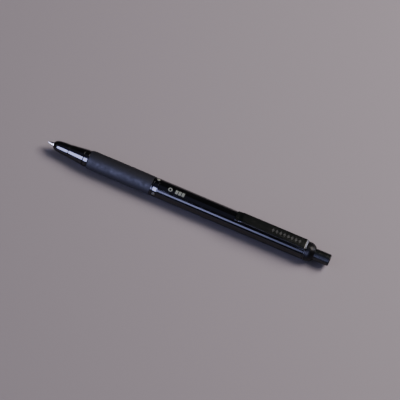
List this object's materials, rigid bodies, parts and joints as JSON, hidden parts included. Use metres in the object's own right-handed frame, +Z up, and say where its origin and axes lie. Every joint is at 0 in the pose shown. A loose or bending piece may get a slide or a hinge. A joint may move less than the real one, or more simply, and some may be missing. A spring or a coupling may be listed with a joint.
{
  "type": "retractable ballpoint pen",
  "caption": "Slim black click ballpoint pen: tapered nose, matte rubber grip, dotted ring, plain barrel, pocket clip, rounded crown and thin push button.",
  "frame": {"origin": "bottom centre of the pen's box with the tip out: halfway along the pen, under its axis, on the surface it lies on", "axes": "+X from the writing tip to the push button, +Z up with the clip on top, Y across the pen"},
  "size_m": [0.1424, 0.0092, 0.0103],
  "materials": {
    "gloss_black": "polished black ABS",
    "lacquer": "gloss black lacquer",
    "grip_rubber": "matte moulded rubber",
    "core_plastic": "moulded black ABS",
    "clip_steel": "gloss black coated spring steel",
    "bright_steel": "drawn spring wire and hardened ball",
    "nickel_silver": "turned bright metal",
    "brass": "turned brass",
    "acetal": "natural white acetal",
    "clear_tube": "translucent polypropylene",
    "ink": "blue ink paste",
    "grease": "amber sealing grease"
  },
  "bodies": {
    "barrel": {"barrel": "lacquer", "barrel_bush": "brass", "grip_core": "core_plastic", "grip_sleeve": "grip_rubber", "grip_ring": "gloss_black", "marker_ring": "gloss_black", "crown": "gloss_black", "clip_collar": "clip_steel", "cam_sleeve": "acetal"},
    "button": {"push_button": "gloss_black", "plunger": "acetal"},
    "refill": {"ball_point": "nickel_silver", "tip_holder": "acetal", "ink_tube": "clear_tube", "ink": "ink", "grease_plug": "grease", "return_spring": "bright_steel"},
    "rotor": {"cam_rotor": "acetal"},
    "ball": {"writing_ball": "bright_steel"},
    "clip": {"clip_arm": "clip_steel"},
    "nose_collar": {"nose_collar": "gloss_black"},
    "nose": {"nose_cone": "gloss_black"}
  },
  "joints": [
    {"name": "button_slide", "type": "slide", "parent": "barrel", "child": "button", "axis": [1, 0, 0], "range_m": [-0.001, 0.0055]},
    {"name": "refill_slide", "type": "slide", "parent": "barrel", "child": "refill", "axis": [1, 0, 0], "range_m": [-0.001, 0.0055], "deforming": ["return_spring"]},
    {"name": "rotor_turn", "type": "hinge", "parent": "refill", "child": "rotor", "pos_m": [0.04255, 0, 0.00458], "axis": [1, 0, 0], "continuous": true},
    {"name": "ball_roll", "type": "hinge", "parent": "refill", "child": "ball", "pos_m": [-0.0709, 0, 0.00458], "axis": [0, 1, 0], "continuous": true},
    {"name": "clip_flex", "type": "hinge", "parent": "barrel", "child": "clip", "pos_m": [0.05875, 0, 0.00988], "axis": [0, 1, 0], "range_deg": [0, 5]},
    {"name": "nose_unscrew", "type": "hinge", "parent": "nose_collar", "child": "nose", "pos_m": [-0.05845, 0, 0.00458], "axis": [-1, 0, 0], "range_deg": [0, 2161]},
    {"name": "nose_advance", "type": "slide", "parent": "barrel", "child": "nose_collar", "axis": [-1, 0, 0], "range_m": [0, 0.0045]}
  ],
  "couplings": [
    {"joint": "refill_slide", "follows": "button_slide", "ratio": 1},
    {"joint": "nose_unscrew", "follows": "nose_advance", "rad_per_m": 8377.6}
  ]
}
